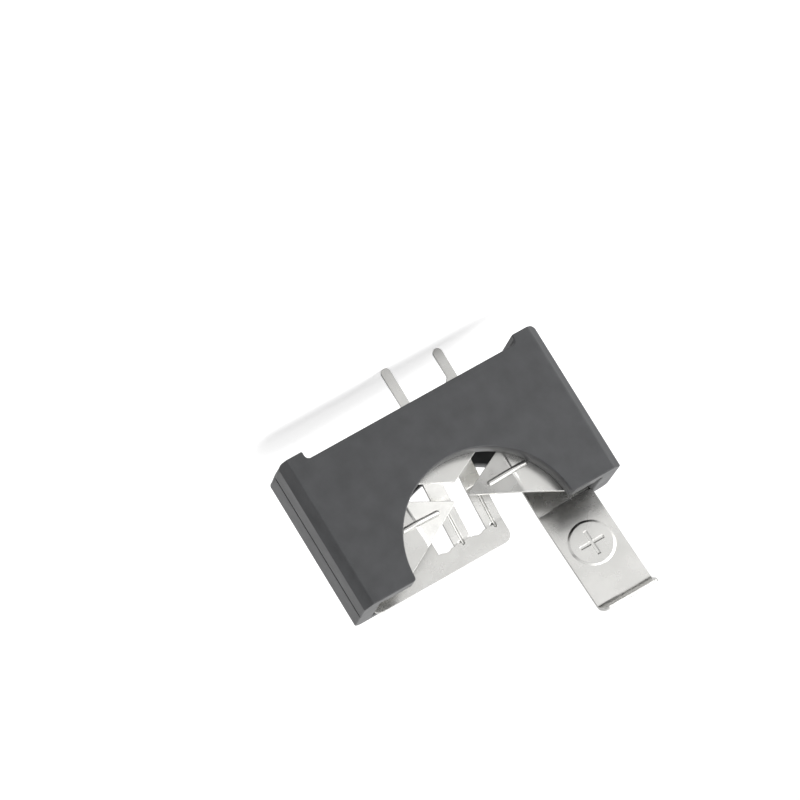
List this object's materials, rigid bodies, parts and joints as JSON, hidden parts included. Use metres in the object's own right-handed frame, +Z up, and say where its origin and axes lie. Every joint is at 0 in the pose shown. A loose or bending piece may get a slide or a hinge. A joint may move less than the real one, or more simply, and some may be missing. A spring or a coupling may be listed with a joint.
{
  "type": "coin cell holder",
  "caption": "Upright through-hole holder for a coin cell: a slotted moulded housing with thumb notches, a forked negative contact and a positive contact with a tall release strip.",
  "frame": {"origin": "middle of the housing's footprint, on the board plane under the feet", "axes": "+Z up from the board, out of the open mouth; +X along the housing, away from the release strip; +Y towards the back wall, which the positive contact lies against"},
  "size_m": [0.024, 0.0066, 0.0254],
  "materials": {
    "housing": "dark grey moulded plastic, matte",
    "contact": "nickel-plated spring sheet, bright"
  },
  "bodies": {
    "root": {"housing": "housing", "positive_contact": "contact", "negative_contact": "contact"}
  },
  "joints": []
}
